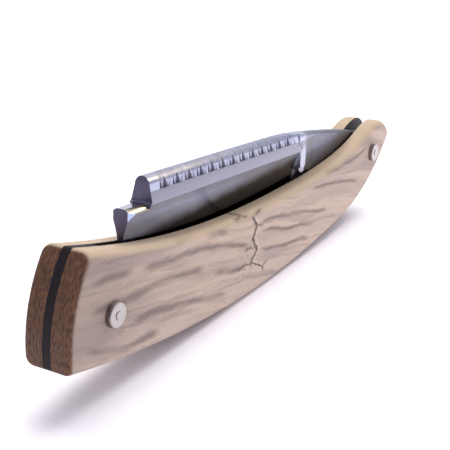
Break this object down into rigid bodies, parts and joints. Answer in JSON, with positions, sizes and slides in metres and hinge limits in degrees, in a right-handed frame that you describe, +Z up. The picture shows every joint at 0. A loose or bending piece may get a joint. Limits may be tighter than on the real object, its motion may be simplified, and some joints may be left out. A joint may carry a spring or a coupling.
{
  "type": "straight razor",
  "caption": "Folded straight razor with a hollow-ground blade, decorated spine and curved wooden handle slabs, standing on its convex belly; the blade swings open on a pin.",
  "frame": {"origin": "on the ground under the middle of the closed razor, halfway between the two handle slabs", "axes": "+X along the handle from the wedge end to the pivot end, +Y from the front slab to the rear slab, +Z up, with the razor standing on its belly"},
  "size_m": [0.152, 0.0152, 0.0374],
  "materials": {
    "scale_wood": "waxed open-grained oak",
    "wedge_black": "black resin, buffed",
    "collar_metal": "nickel silver, turned and lightly polished",
    "washer_brass": "plain brass",
    "blade_steel": "ground and polished steel"
  },
  "bodies": {
    "handle": {"front_scale": "scale_wood", "rear_scale": "scale_wood", "wedge": "wedge_black", "wedge_pin": "collar_metal", "wedge_collar_front": "collar_metal", "wedge_collar_rear": "collar_metal", "pivot_pin": "collar_metal", "pivot_collar_front": "collar_metal", "pivot_collar_rear": "collar_metal", "pivot_washer_front": "washer_brass", "pivot_washer_rear": "washer_brass"},
    "blade": {"blade": "blade_steel"}
  },
  "joints": [
    {"name": "blade_pivot", "type": "hinge", "parent": "handle", "child": "blade", "pos_m": [0.0614, 0, 0.018], "axis": [0, 1, 0], "range_deg": [0, 308]}
  ]
}
